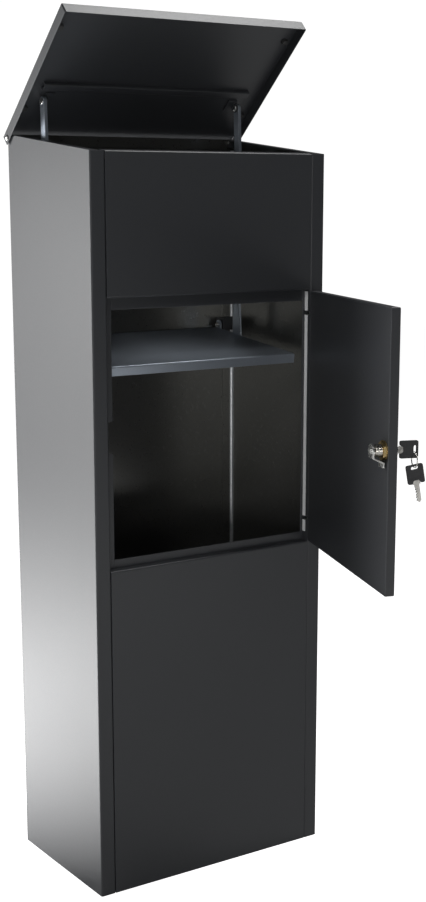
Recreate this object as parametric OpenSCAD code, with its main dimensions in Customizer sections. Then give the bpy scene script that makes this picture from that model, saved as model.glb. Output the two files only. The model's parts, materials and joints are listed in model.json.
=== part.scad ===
// Parcel drop box: sheet steel cabinet, lifting lid, tilting anti-fishing tray, locking door.
// +X right, -Y front, +Z up, millimetres. The origin is the bottom centre of the cabinet.
// The box is drawn in use: lid raised, tray level, door open, key in the lock.

/* [Cabinet] */
// Width over the side panels
body_w = 370; // [340:5:450]
// Depth from the front face to the rear face
body_d = 225; // [215:5:280]
// Height of the front face
body_h = 1000; // [960:10:1200]
// Fall of the roof line towards the front, in degrees
roof_slope = 6.6; // [4:0.1:9]
// Thickness of the sheet steel
sheet = 1.5; // [1:0.1:2]
// Width of the folded stile on each side of the front
stile_w = 22; // [22:1:26]

/* [Door] */
// Height of the lower edge of the door opening
door_z = 457; // [300:1:480]
// Height of the door opening
door_h = 359; // [300:1:380]
// Thickness of the door
door_t = 12; // [12:0.5:13]
// Angle that the door stands open, in degrees
door_open = 70; // [60:1:95]
// Height of the lock above the lower edge of the opening
lock_rise = 183; // [120:1:200]

/* [Lid] */
// Depth of the lid skirts
skirt_h = 15.8; // [15:0.1:20]
// Angle of the raised lid above the horizontal, in degrees
lid_open = 42.1; // [30:0.1:44]
// Distance of the link pivots from the lid's rear edge
link_u = 75; // [70:1:85]

/* [Tray] */
// Height of the tray's front edge above the floor
tray_z = 726; // [640:1:740]
// Height of the tray's front lip
lip_h = 13; // [8:1:16]

/* [Colours] */
// Powder coat of the cabinet
coat_colour = "#33373b"; // ["#33373b", "#4a4d50", "#dcdcd8"]
// Powder coat of the tray and the link bars
tray_colour = "#5c6670"; // ["#5c6670", "#33373b"]

/* [Hidden] */
$fn = 48;
past = 1; // how far cutting tools run past a face

// Cabinet
half_w = body_w / 2;
front_y = -body_d / 2;
rear_y = body_d / 2;
inner_x = half_w - sheet;
inner_front = front_y + sheet;
inner_rear = rear_y - sheet;
stile_x = half_w - stile_w;
rear_flange_w = 18;
roof_flange_w = 12;
panel_gap = 0.6;
panel_half = stile_x - panel_gap;
return_d = 9;
floor_t = 2;
anchor_r = 4.5;
anchor_x = body_w / 2 - 55;
anchor_y = body_d / 2 - 37.5;
wall_hole_r = 4;
wall_hole_x = body_w / 2 - 65;
wall_hole_z = [body_h * 0.25, body_h * 0.9];
hem_h = 15;

// Door opening and its rebate
head_z = door_z + door_h;
rebate_gap = 0.5;
lock_lip = 13;
hinge_lip = 4;
lip_y = front_y + door_t + rebate_gap;
lip_back = lip_y + sheet;
clear_left = -(stile_x - lock_lip);
clear_right = stile_x - hinge_lip;
head_lip = 16;
sill_lip = 12;
strip_margin = 16;

// Door, in its closed place
door_gap = 1.5;
hinge_gap = 2.5;
end_gap = 1.8;
door_left = -stile_x + door_gap;
door_right = stile_x - hinge_gap;
door_low = door_z + end_gap;
door_high = head_z - end_gap;
door_inner = front_y + door_t;
liner_gap = 0.15;
hinge_x = stile_x + 7.5;
hinge_y = front_y + 6;
hinge_end = 31; // from the door's ends
hinge_z = [door_low + hinge_end, door_high - hinge_end];
slot_reach = 5.5; // how far the stile's slots reach past the pivot
hinge_pin_r = 2;
hinge_eye_r = 4;
arm_w = 5.6;
arm_t = 4;
arm_reach = 12;
arm_slack = 0.75;
bracket_t = 3;
bracket_gap = 0.3;

// Lock, in the door's closed place
lock_inset = 16;
lock_x = -stile_x + lock_inset;
lock_z = door_z + lock_rise;
barrel_r = 8;
bezel_r = 11;
bezel_t = 2;
plug_r = 6;
fit = 0.06; // running clearance of a pin in its bore
plug_proud = 0.4;
plug_front = front_y - bezel_t - plug_proud;
barrel_l = 15; // behind the door
barrel_back = door_inner + barrel_l;
cam_front = barrel_back + 0.5;
washer_t = 1;
nut_t = 4;
nut_r = 12.7;
cam_t = 2.5;
cam_w = 16;
cam_hub_r = 9;
cam_crank = 13.4;
cam_len = 21;
screw_r = 2;
screw_depth = 6;
screw_head_r = 3.8;
screw_head_t = 2;
screw_slot = [6, 1];
notch_low = lock_z - cam_len - 6;
notch_high = lock_z + nut_r + 2.3;

// Keys
key_t = 2;
key_w = 6;
key_slack = 0.3;
key_stand = 5; // the bow stands this far off the plug
key_l = 27;
blade_front = plug_front - key_stand;
blade_back = blade_front + key_l;
bow_t = 3.5;
bow_w = 22;
bow_corner = 2.5;
bow_l = 24;
bow_slot = 4;
bow_slot_l = 10;
bow_rim = 2.2;
bow_front = blade_front - bow_l;
ring_r = 9.4;
wire_r = 0.8;
ring_y = bow_front + bow_rim + bow_slot / 2;
ring_top = lock_z - bow_slot_l / 2 + 1.2;
ring_low = ring_top - 2 * ring_r;
spare_top = ring_low + 1.2 + bow_rim;
spare_tilt = 10;
spare_blade = 24.5;

// Lid: u runs from the rear edge to the front, v up from the rim
lid_sheet = 1.2;
lid_overhang = 3.3;
lid_half = half_w + lid_overhang;
lid_l = body_d + 9;
lid_pin_u = 7.5;
lid_pin_v = 5.9;
lid_pin_r = 2;
lid_y = rear_y - 4;
lid_pin_drop = 4.25; // below the roof line
lid_z = roof(lid_y) - lid_pin_drop;
pin_head_r = 3.6;
hinge_block_w = 8;
stiffener_u = [93, 104];
stiffener_h = 6;
stiffener_half = stile_x + 2;
link_v = skirt_h - lid_sheet - 6.8;
buffer_r = 5;
buffer_x = inner_x - roof_flange_w / 2 - 0.5;
buffer_u = [56, lid_l - 36];
buffer_gap = 0.3;

// Tray: its pivot lies as far below the lid's as the link bars are long
tray_half = stile_x - lock_lip;
tray_front = front_y + 17.5;
tray_rear = rear_y - 7.5;
tray_rear_lip = 4;
tray_step = -9; // in front of this the side lips have their full depth
tray_pivot_y = rear_y - 14.5;
tray_rise = 5;
tray_pivot_z = tray_z + (tray_pivot_y - tray_front) * tan(roof_slope) + tray_rise / cos(roof_slope);
tray_run_front = -(tray_pivot_y - tray_front) / cos(roof_slope);
tray_run_rear = (tray_rear - tray_pivot_y) / cos(roof_slope);
cheek_t = 2;
rivet_head_r = 4;
bracket_gap_x = 2; // between a cheek and its bracket
bracket_half_h = 10;
cheek_x = tray_half;
ear_w = 15;
eye_r = 7;
pivot_r = 2.5;
head_r = 4.5;
head_t = 2;

// Link bars
link_x = tray_half + 5.2;
link_t = 4.6;
link_w = 12;
side_gap = 0.3;
lug_t = 2;
lug_r = 6.2;
lug_foot = [12, 20];
lug_x = link_x - side_gap - 0.1 - lug_t;
open_fit = 0.3; // clearance of the pivot where the linkage is opened
arm_y = -(link_u - lid_pin_u) * cos(lid_open) + (link_v - lid_pin_v) * sin(lid_open);
arm_z = (link_u - lid_pin_u) * sin(lid_open) + (link_v - lid_pin_v) * cos(lid_open);
ear_y = arm_y * cos(roof_slope) + arm_z * sin(roof_slope);
ear_z = -arm_y * sin(roof_slope) + arm_z * cos(roof_slope);

// Height of the roof line at a given depth
function roof(y) = body_h + (y - front_y) * tan(roof_slope);

// ---- Helpers ----

// A box between two corners
module box(low, high) translate(low) cube(high - low);

// A cylinder along X between two values of x
module rod_x(x0, x1, r) translate([x0, 0, 0]) rotate([0, 90, 0]) cylinder(r = r, h = x1 - x0);

// A cylinder along Y between two values of y
module rod_y(y0, y1, r) translate([0, y0, 0]) rotate([-90, 0, 0]) cylinder(r = r, h = y1 - y0);

// A side-view outline, drawn as [y, z], with its thickness along X
module slab_x(x0, x1) {
  translate([x0, 0, 0]) rotate([90, 0, 90]) linear_extrude(x1 - x0) children();
}

// The children and their mirror image on the left
module both_sides() {
  children();
  mirror([1, 0, 0]) children();
}

module place_door() {
  translate([hinge_x, hinge_y, 0]) rotate([0, 0, door_open]) translate([-hinge_x, -hinge_y, 0]) children();
}

module place_lock() place_door() translate([lock_x, 0, lock_z]) children();

// Lid coordinates: [x, -u, v]
module place_lid() {
  translate([0, lid_y, lid_z]) rotate([-lid_open, 0, 0]) translate([0, lid_pin_u, -lid_pin_v]) children();
}

module place_tray() {
  translate([0, tray_pivot_y, tray_pivot_z]) rotate([roof_slope, 0, 0]) children();
}

// ---- Cabinet ----

// Everything under the roof line
module under_roof() {
  slab_x(-body_w, body_w) polygon([[front_y, 0], [rear_y, 0], [rear_y, roof(rear_y)], [front_y, body_h]]);
}

// A strip of sheet that follows the roof line
module roof_strip(x0, x1, y0, y1) {
  slab_x(x0, x1) polygon([[y0, roof(y0) - sheet], [y1, roof(y1) - sheet], [y1, roof(y1)], [y0, roof(y0)]]);
}

module side_panel() {
  top = roof(rear_y);
  difference() {
    intersection() {
      union() {
        box([inner_x, front_y, 0], [half_w, rear_y, top]);
        box([stile_x, front_y, 0], [half_w, inner_front, top]);
        box([stile_x, front_y, floor_t], [stile_x + sheet, lip_y, top]);
        box([inner_x - rear_flange_w, inner_rear - sheet, floor_t], [inner_x, inner_rear, lid_z - 11]);
        roof_strip(inner_x - roof_flange_w, inner_x, inner_front, lid_y - 10);
      }
      under_roof();
    }
    translate([0, lid_y, lid_z]) rod_x(inner_x - past, half_w + past, lid_pin_r);
  }
}

module left_side_panel() color(coat_colour) mirror([1, 0, 0]) side_panel();

module right_side_panel() {
  slot_h = arm_t / 2 + arm_slack;
  color(coat_colour) difference() {
    side_panel();
    for (z = hinge_z)
      box([stile_x - past, front_y - past, z - slot_h], [hinge_x + slot_reach, lip_y + past, z + slot_h]);
  }
}

module rear_panel() {
  color(coat_colour) difference() {
    intersection() {
      union() {
        box([-inner_x, inner_rear, 0], [inner_x, rear_y, roof(rear_y)]);
        box([-inner_x + rear_flange_w, inner_rear - sheet, roof(rear_y) - hem_h],
            [inner_x - rear_flange_w, inner_rear, roof(rear_y)]);
      }
      under_roof();
    }
    for (x = [-wall_hole_x, wall_hole_x], z = wall_hole_z)
      translate([x, 0, z]) rod_y(inner_rear - past, rear_y + past, wall_hole_r);
  }
}

module floor_plate() {
  color(coat_colour) difference() {
    box([-inner_x, inner_front, 0], [inner_x, inner_rear, floor_t]);
    for (x = [-anchor_x, anchor_x], y = [-anchor_y, anchor_y])
      translate([x, y, -past]) cylinder(r = anchor_r, h = floor_t + 2 * past);
  }
}

// A front panel with its four edges folded back
module front_panel(z0, z1, d0, d1) {
  box([-panel_half, front_y, z0], [panel_half, inner_front, z1]);
  box([-panel_half, front_y, z0], [panel_half, front_y + d0, z0 + sheet]);
  box([-panel_half, front_y, z1 - sheet], [panel_half, front_y + d1, z1]);
  both_sides() box([panel_half - sheet, front_y, z0 + 2], [panel_half, inner_front + return_d, z1 - 10]);
}

module front_top_panel() {
  color(coat_colour) union() {
    intersection() {
      front_panel(head_z, body_h, lip_y - front_y, sheet);
      under_roof();
    }
    roof_strip(-panel_half, panel_half, front_y, front_y + 15);
  }
}

module front_lower_panel() {
  color(coat_colour) difference() {
    front_panel(0, door_z, sheet, lip_y - front_y);
    box([-half_w, inner_front, -past], [half_w, 0, floor_t]);
  }
}

module frame_strip(x0, x1, z0, z1) box([x0, lip_y, z0], [x1, lip_back, z1]);

module door_frame_head() {
  color(coat_colour) frame_strip(clear_left, clear_right, head_z - head_lip, head_z + strip_margin);
}

module door_frame_sill() {
  color(coat_colour) frame_strip(clear_left, clear_right, door_z - strip_margin, door_z + sill_lip);
}

// The lip beside the lock is notched so that the nut and the unlocked cam pass
module lock_side_jamb() {
  color(coat_colour) difference() {
    frame_strip(-inner_x, clear_left, door_z - strip_margin, head_z + strip_margin);
    box([-stile_x + 2, lip_y - past, notch_low], [clear_left + past, lip_back + past, notch_high]);
  }
}

module hinge_side_jamb() {
  color(coat_colour) frame_strip(clear_right, inner_x, door_z - strip_margin, head_z + strip_margin);
}

// Pairs of plates inside the right stile, above and below each hinge arm
module door_hinge_brackets() {
  low = arm_t / 2 + bracket_gap;
  color("silver") for (z = hinge_z, side = [-1, 1])
    difference() {
      box([stile_x + sheet, inner_front, z + side * (low + bracket_t / 2) - bracket_t / 2],
          [inner_x, lip_y, z + side * (low + bracket_t / 2) + bracket_t / 2]);
      translate([hinge_x, hinge_y, z - 20]) cylinder(r = hinge_pin_r, h = 40);
    }
}

module door_hinge_pins() {
  half_l = arm_t / 2 + bracket_gap + bracket_t;
  color("silver") for (z = hinge_z)
    translate([hinge_x, hinge_y, z - half_l]) cylinder(r = hinge_pin_r, h = 2 * half_l);
}

module lid_hinge_blocks() {
  color(coat_colour) both_sides() difference() {
    box([inner_x - hinge_block_w, lid_y - 9, lid_z - 8], [inner_x, inner_rear, lid_z + 3]);
    translate([0, lid_y, lid_z]) rod_x(inner_x - 2 * hinge_block_w, half_w, lid_pin_r);
  }
}

module lid_hinge_pins() {
  color("silver") both_sides() translate([0, lid_y, lid_z]) {
    rod_x(inner_x - hinge_block_w, lid_half + side_gap, lid_pin_r);
    rod_x(lid_half + side_gap, lid_half + side_gap + head_t, pin_head_r);
  }
}

// Angle brackets on the rear flanges of the side panels
module tray_pivot_brackets() {
  leg_x = cheek_x + cheek_t + bracket_gap_x;
  back = inner_rear - sheet;
  low = tray_pivot_z - bracket_half_h;
  high = tray_pivot_z + bracket_half_h;
  color(coat_colour) both_sides() difference() {
    union() {
      box([leg_x, tray_pivot_y - 8, low], [leg_x + lug_t, back, high]);
      box([leg_x, back - lug_t, low], [inner_x, back, high]);
    }
    translate([0, tray_pivot_y, tray_pivot_z]) rod_x(leg_x - past, leg_x + lug_t + past, pivot_r);
  }
}

module tray_pivot_pins() {
  inner = cheek_x - head_t;
  outer = cheek_x + cheek_t + bracket_gap_x + lug_t;
  color("silver") both_sides() translate([0, tray_pivot_y, tray_pivot_z]) {
    rod_x(inner - head_t, inner, rivet_head_r);
    rod_x(inner, outer, pivot_r);
    rod_x(outer, outer + head_t, rivet_head_r);
  }
}

// ---- Lid ----

module lid_shell() {
  inner_v = skirt_h - lid_sheet;
  inner_half = lid_half - lid_sheet;
  color(coat_colour) place_lid() difference() {
    union() {
      box([-lid_half, -lid_l, inner_v], [lid_half, 0, skirt_h]);
      box([-lid_half, -lid_l, 0], [lid_half, -lid_l + lid_sheet, skirt_h]);
      both_sides() box([inner_half, -lid_l, 0], [lid_half, 0, skirt_h]);
    }
    translate([0, -lid_pin_u, lid_pin_v]) rod_x(-body_w, body_w, lid_pin_r + fit);
  }
}

// A channel across the underside that stiffens the lid
module lid_stiffener() {
  top = skirt_h - lid_sheet;
  low = top - stiffener_h;
  color(coat_colour) place_lid() difference() {
    box([-stiffener_half, -stiffener_u[1], low], [stiffener_half, -stiffener_u[0], top]);
    box([-half_w, -stiffener_u[1] + lid_sheet, low + lid_sheet],
        [half_w, -stiffener_u[0] - lid_sheet, top + past]);
  }
}

// Rubber buffers under the lid, just short of the roof flanges when it is closed
module lid_buffers() {
  top = skirt_h - lid_sheet;
  reach = (top - lid_pin_v) - lid_pin_drop * cos(roof_slope) - buffer_gap;
  color("dimgray") place_lid() both_sides() for (u = buffer_u)
    translate([buffer_x, -u, top - reach]) cylinder(r = buffer_r, h = reach);
}

module lid_link_lugs() {
  top = skirt_h - lid_sheet;
  color(coat_colour) place_lid() both_sides() difference() {
    union() {
      translate([0, -link_u, link_v]) rod_x(lug_x, lug_x + lug_t, lug_r);
      box([lug_x, -link_u - lug_r, link_v], [lug_x + lug_t, -link_u + lug_r, top]);
      box([lug_x - lug_foot[0], -link_u - lug_foot[1] / 2, top - lug_t],
          [lug_x + lug_t, -link_u + lug_foot[1] / 2, top]);
    }
    translate([0, -link_u, link_v]) rod_x(lug_x - past, lug_x + lug_t + past, pivot_r);
  }
}

module lid_link_rivets() {
  outer = link_x + link_t + side_gap;
  color("silver") place_lid() both_sides() translate([0, -link_u, link_v]) {
    rod_x(lug_x - head_t, lug_x, head_r);
    rod_x(lug_x, outer, pivot_r);
    rod_x(outer, outer + head_t, head_r);
  }
}

// ---- Link bars ----

// The bar stays parallel to the line between the lid's and the tray's pivots
module link_bar() {
  run_y = tray_pivot_y - lid_y;
  run_z = tray_pivot_z - lid_z;
  lean = atan2(run_y, -run_z);
  length = sqrt(run_y * run_y + run_z * run_z);
  translate([0, lid_y + arm_y, lid_z + arm_z]) rotate([lean, 0, 0]) difference() {
    union() {
      rod_x(link_x, link_x + link_t, link_w / 2);
      box([link_x, -link_w / 2, -length], [link_x + link_t, link_w / 2, 0]);
      translate([0, 0, -length]) rod_x(link_x, link_x + link_t, link_w / 2);
    }
    rod_x(link_x - past, link_x + link_t + past, pivot_r + fit);
    translate([0, 0, -length]) rod_x(link_x - past, link_x + link_t + past, pivot_r + open_fit);
  }
}

module left_link_bar() color(tray_colour) mirror([1, 0, 0]) link_bar();

module right_link_bar() color(tray_colour) link_bar();

// ---- Tray ----

// The rear lip is short so that it clears the rear panel as the tray tilts
module tray_shelf() {
  top = -tray_rise;
  low = top - lip_h;
  rear_low = top - tray_rear_lip;
  color(tray_colour) place_tray() {
    box([-tray_half, tray_run_front, top - sheet], [tray_half, tray_run_rear, top]);
    box([-tray_half, tray_run_front, low], [tray_half, tray_run_front + sheet, top]);
    box([-tray_half, tray_run_rear - sheet, rear_low], [tray_half, tray_run_rear, top]);
    both_sides() {
      box([tray_half - sheet, tray_run_front, low], [tray_half, tray_step, top]);
      box([tray_half - sheet, tray_step - sheet, rear_low], [tray_half, tray_run_rear, top]);
    }
  }
}

// A cheek carries the tray's pivot eye and the ear for the link bar
module tray_cheek() {
  low = -tray_rise - lip_h + 2;
  foot = ear_y - 10;
  place_tray() difference() {
    union() {
      box([cheek_x, foot - ear_w / 2, low], [cheek_x + cheek_t, tray_step, -tray_rise]);
      box([cheek_x, tray_step - sheet, -tray_rise - tray_rear_lip], [cheek_x + cheek_t, eye_r, -tray_rise]);
      box([cheek_x, -eye_r, -tray_rise - sheet], [cheek_x + cheek_t, eye_r, 0]);
      rod_x(cheek_x, cheek_x + cheek_t, eye_r);
      slab_x(cheek_x, cheek_x + cheek_t) polygon([
        [foot - ear_w / 2, -tray_rise],
        [foot + ear_w / 2 + 6, -tray_rise],
        [ear_y + ear_w / 2, ear_z - 6],
        [ear_y + ear_w / 2, ear_z],
        [ear_y - ear_w / 2, ear_z],
      ]);
      translate([0, ear_y, ear_z]) rod_x(cheek_x, cheek_x + cheek_t, ear_w / 2);
    }
    rod_x(cheek_x - past, cheek_x + cheek_t + past, pivot_r + fit);
    translate([0, ear_y, ear_z]) rod_x(cheek_x - past, cheek_x + cheek_t + past, pivot_r);
  }
}

module left_tray_cheek() color(tray_colour) mirror([1, 0, 0]) tray_cheek();

module right_tray_cheek() color(tray_colour) tray_cheek();

module tray_link_pins() {
  outer = link_x + link_t + side_gap;
  color("silver") place_tray() both_sides() translate([0, ear_y, ear_z]) {
    rod_x(cheek_x - head_t, cheek_x, head_r);
    rod_x(cheek_x, outer, pivot_r);
    rod_x(cheek_x + cheek_t, link_x - side_gap, rivet_head_r);
    rod_x(outer, outer + head_t, head_r);
  }
}

// ---- Door ----

module door_outer_pan() {
  slot_h = arm_t / 2;
  color(coat_colour) place_door() difference() {
    box([door_left, front_y, door_low], [door_right, door_inner, door_high]);
    box([door_left + sheet, inner_front, door_low + sheet],
        [door_right - sheet, door_inner + past, door_high - sheet]);
    for (z = hinge_z)
      box([door_right - 2 * sheet, hinge_y - arm_w / 2, z - slot_h],
          [door_right + past, hinge_y + arm_w / 2, z + slot_h]);
    translate([lock_x, 0, lock_z]) rod_y(front_y - past, inner_front + past, barrel_r);
  }
}

module door_inner_liner() {
  inset = sheet + liner_gap;
  color(coat_colour) place_door() difference() {
    box([door_left + inset, door_inner - sheet, door_low + inset],
        [door_right - inset, door_inner, door_high - inset]);
    translate([lock_x, 0, lock_z]) rod_y(door_inner - 2 * sheet, door_inner + past, barrel_r);
  }
}

// Flat arms from the door's edge to the pivots inside the stile
module door_hinge_arms() {
  color("silver") place_door() for (z = hinge_z) difference() {
    union() {
      translate([hinge_x, hinge_y, z - arm_t / 2]) cylinder(r = hinge_eye_r, h = arm_t);
      box([door_right - arm_reach, hinge_y - arm_w / 2, z - arm_t / 2],
          [hinge_x, hinge_y + arm_w / 2, z + arm_t / 2]);
    }
    translate([hinge_x, hinge_y, z - arm_t]) cylinder(r = hinge_pin_r + fit, h = 2 * arm_t);
  }
}

// ---- Lock ----

module lock_body() {
  color("silver") place_lock() difference() {
    union() {
      rod_y(front_y - bezel_t, front_y, bezel_r);
      rod_y(front_y - bezel_t, barrel_back, barrel_r);
    }
    rod_y(front_y - 2 * bezel_t, barrel_back + past, plug_r + fit);
  }
}

module lock_washer() {
  color("gold") place_lock() difference() {
    rod_y(door_inner, door_inner + washer_t, nut_r - 0.8);
    rod_y(door_inner - past, door_inner + washer_t + past, barrel_r);
  }
}

module lock_nut() {
  color("gold") place_lock() difference() {
    translate([0, door_inner + washer_t, 0]) rotate([-90, 30, 0]) cylinder(r = nut_r, h = nut_t, $fn = 6);
    rod_y(door_inner, door_inner + washer_t + nut_t + past, barrel_r);
  }
}

module lock_plug() {
  half_t = key_t / 2 + key_slack;
  half_h = key_w / 2 + key_slack;
  color("silver") place_lock() difference() {
    rod_y(plug_front, cam_front, plug_r);
    box([-half_t, plug_front - past, -half_h], [half_t, blade_back + key_slack, half_h]);
    rod_y(cam_front - screw_depth, cam_front + past, screw_r);
  }
}

// The cam's end is cranked towards the door so that it closes behind the frame lip
module lock_cam() {
  back = cam_front + cam_t;
  color("silver") place_lock() difference() {
    union() {
      rod_y(cam_front, back, cam_hub_r);
      slab_x(-cam_w / 2, cam_w / 2) polygon([
        [cam_front, 0],
        [back, 0],
        [back, -9],
        [back - cam_crank, -15.5],
        [back - cam_crank, -cam_len],
        [cam_front - cam_crank, -cam_len],
        [cam_front - cam_crank, -14],
        [cam_front, -8.5],
      ]);
    }
    rod_y(cam_front - past, back + past, screw_r);
  }
}

module cam_screw() {
  back = cam_front + cam_t;
  color("silver") place_lock() difference() {
    union() {
      rod_y(cam_front - screw_depth, back, screw_r);
      rod_y(back, back + screw_head_t, screw_head_r);
    }
    box([-screw_slot[0] / 2, back + screw_head_t / 2, -screw_slot[1] / 2],
        [screw_slot[0] / 2, back + screw_head_t + past, screw_slot[1] / 2]);
  }
}

// ---- Keys ----

// A flat bow in the plane x = 0 with rounded corners; y runs along the key, away from the blade
module bow_plate() {
  slab_x(-bow_t / 2, bow_t / 2) difference() {
    translate([bow_corner, -bow_w / 2 + bow_corner])
      offset(r = bow_corner) square([bow_l - 2 * bow_corner, bow_w - 2 * bow_corner]);
    translate([bow_l - bow_rim - bow_slot / 2, 0]) {
      hull() for (s = [-1, 1]) translate([0, s * (bow_slot_l - bow_slot) / 2]) circle(d = bow_slot, $fn = 24);
    }
  }
}

// A flat blade with cuts along one edge; y runs from the bow to the tip
module blade_plate(length) {
  tip = 3;
  slab_x(-key_t / 2, key_t / 2) difference() {
    polygon([
      [-3, -key_w / 2],
      [length - tip, -key_w / 2],
      [length, 0],
      [length - tip, key_w / 2],
      [-3, key_w / 2],
    ]);
    for (i = [0:4])
      translate([6 + i * 3.4, -key_w / 2]) circle(r = 1 + 0.35 * (i % 3), $fn = 4);
  }
}

module key_blade() {
  color("silver") place_lock() difference() {
    translate([0, blade_front, 0]) blade_plate(blade_back - blade_front);
    box([-bow_t, bow_front, -bow_w], [bow_t, blade_front, bow_w]);
  }
}

module key_bow() {
  color("#1c1c1e") place_lock() translate([0, blade_front, 0]) mirror([0, 1, 0]) bow_plate();
}

module key_ring() {
  color("silver") place_door() translate([lock_x, ring_y, ring_top - ring_r]) {
    rotate([90, 0, 0]) rotate_extrude($fn = 64) translate([ring_r, 0]) circle(r = wire_r, $fn = 16);
  }
}

// The spare key hangs from the ring's lowest point, tip down
module place_spare() {
  place_door() translate([lock_x, ring_y, ring_low]) rotate([-spare_tilt, 0, 0]) children();
}

module spare_key_bow() {
  color("#1c1c1e") place_spare() translate([0, 0, spare_top - ring_low - bow_l]) rotate([90, 0, 0]) bow_plate();
}

module spare_key_blade() {
  shoulder = spare_top - ring_low - bow_l;
  color("silver") place_spare() difference() {
    translate([0, 0, shoulder]) rotate([-90, 0, 0]) blade_plate(spare_blade);
    box([-bow_t, -bow_w, shoulder], [bow_t, bow_w, shoulder + bow_l]);
  }
}

left_side_panel();
right_side_panel();
rear_panel();
floor_plate();
front_top_panel();
front_lower_panel();
door_frame_head();
door_frame_sill();
lock_side_jamb();
hinge_side_jamb();
door_hinge_brackets();
door_hinge_pins();
lid_hinge_blocks();
lid_hinge_pins();
tray_pivot_brackets();
tray_pivot_pins();
lid_shell();
lid_stiffener();
lid_buffers();
lid_link_lugs();
lid_link_rivets();
left_link_bar();
right_link_bar();
tray_shelf();
left_tray_cheek();
right_tray_cheek();
tray_link_pins();
door_outer_pan();
door_inner_liner();
door_hinge_arms();
lock_body();
lock_washer();
lock_nut();
lock_plug();
lock_cam();
cam_screw();
key_blade();
key_bow();
key_ring();
spare_key_blade();
spare_key_bow();
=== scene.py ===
"""Looks of the parcel drop box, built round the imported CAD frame.

Metres, +X right, -Y front, +Z up. The pieces of the lid, tray, door, lock and keys are drawn
as they stand when shut, and LID, TRAY, DOOR, LOCK and SPARE carry them to their place at rest.
"""
import json
import math
import bmesh
import bpy
from mathutils import Matrix, Vector


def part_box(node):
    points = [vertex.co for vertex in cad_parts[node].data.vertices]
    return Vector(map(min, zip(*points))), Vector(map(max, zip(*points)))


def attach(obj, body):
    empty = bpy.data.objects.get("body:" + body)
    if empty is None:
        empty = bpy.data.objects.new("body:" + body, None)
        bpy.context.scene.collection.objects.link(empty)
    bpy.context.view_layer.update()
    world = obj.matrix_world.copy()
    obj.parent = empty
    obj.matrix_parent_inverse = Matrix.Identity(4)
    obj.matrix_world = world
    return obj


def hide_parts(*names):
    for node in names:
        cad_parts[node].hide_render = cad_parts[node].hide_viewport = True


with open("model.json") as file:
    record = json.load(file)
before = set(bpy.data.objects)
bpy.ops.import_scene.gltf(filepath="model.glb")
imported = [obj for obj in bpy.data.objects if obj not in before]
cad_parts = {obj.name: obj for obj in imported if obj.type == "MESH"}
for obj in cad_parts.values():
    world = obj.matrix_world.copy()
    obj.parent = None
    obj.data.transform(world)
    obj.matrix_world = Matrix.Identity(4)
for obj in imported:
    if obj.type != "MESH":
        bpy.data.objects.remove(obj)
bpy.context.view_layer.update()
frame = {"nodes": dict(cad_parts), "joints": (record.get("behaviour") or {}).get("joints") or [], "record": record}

# ---- Driving values ----
MM = 0.001
BODY_H = 1.0                # height of the front face
SHEET = 1.5 * MM
LID_SHEET = 1.2 * MM
BEND = 1.0 * MM             # inside radius of a fold
BEND_STEPS = 4
EDGE = 0.3 * MM             # rounding of a cut edge, and how far joined pieces run into each other
SHARP = math.radians(40)    # edges that turn by more than this are rounded
CREASE = math.radians(50)   # edges that turn by more than this are shaded as creases
FACING = 0.7                # a normal's part along an axis, from which a face looks along it
SAME = 1e-6                 # two places nearer than this are the same
NO_RADIUS = 1e-7            # a turned point nearer the axis than this is a tip
SPARE_TILT = 10             # degrees
STEPS_PIN = 32              # sides of a turned pin or buffer
STEPS_ROUND = 48            # sides of a larger turned shape

JOINTS = {j["name"]: j for j in frame["joints"]}
PIN = {name: joint["pos_m"] for name, joint in JOINTS.items() if "pos_m" in joint}
side_lo, side_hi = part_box("right_side_panel")
HALF_W, STILE_X = side_hi.x, side_lo.x
FRONT, REAR = side_lo.y, side_hi.y
INNER_X, INNER_FRONT, INNER_REAR = HALF_W - SHEET, FRONT + SHEET, REAR - SHEET
TAN_SLOPE = (side_hi.z - BODY_H) / (REAR - FRONT)
SLOPE = math.atan(TAN_SLOPE)
LIP_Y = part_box("door_frame_sill")[0].y
DOOR_OPEN = -math.radians(JOINTS["door_hinge"]["range_deg"][0])
LID_OPEN = math.radians(JOINTS["lid_hinge"]["range_deg"][1]) - SLOPE


def roof(y):
    """Height of the roof line at a given depth."""
    return BODY_H + (y - FRONT) * TAN_SLOPE


def about(point, angle, axis):
    """A turn about an axis through a point."""
    p = Vector(point)
    return Matrix.Translation(p) @ Matrix.Rotation(angle, 4, axis) @ Matrix.Translation(-p)


def box_of(points):
    """Lowest and highest corners of a list of points."""
    return (Vector([min(p[i] for p in points) for i in range(3)]),
            Vector([max(p[i] for p in points) for i in range(3)]))


def local_box(node, matrix):
    """Lowest and highest corners of a CAD node in the coordinates of a turned part."""
    inverse = matrix.inverted()
    return box_of([inverse @ v.co for v in frame["nodes"][node].data.vertices])


LID = about(PIN["lid_hinge"], -LID_OPEN, "X")
TRAY = about(PIN["tray_tilt"], SLOPE, "X")
DOOR = about(PIN["door_hinge"], DOOR_OPEN, "Z")
LOCK_AT = DOOR.inverted() @ Vector(PIN["lock_turn"])
LOCK = DOOR @ Matrix.Translation((LOCK_AT.x, 0, LOCK_AT.z))
SPARE_AT = DOOR.inverted() @ Vector(PIN["spare_key_swing"])
SPARE = DOOR @ Matrix.Translation(SPARE_AT) @ Matrix.Rotation(-math.radians(SPARE_TILT), 4, "X")

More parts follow.
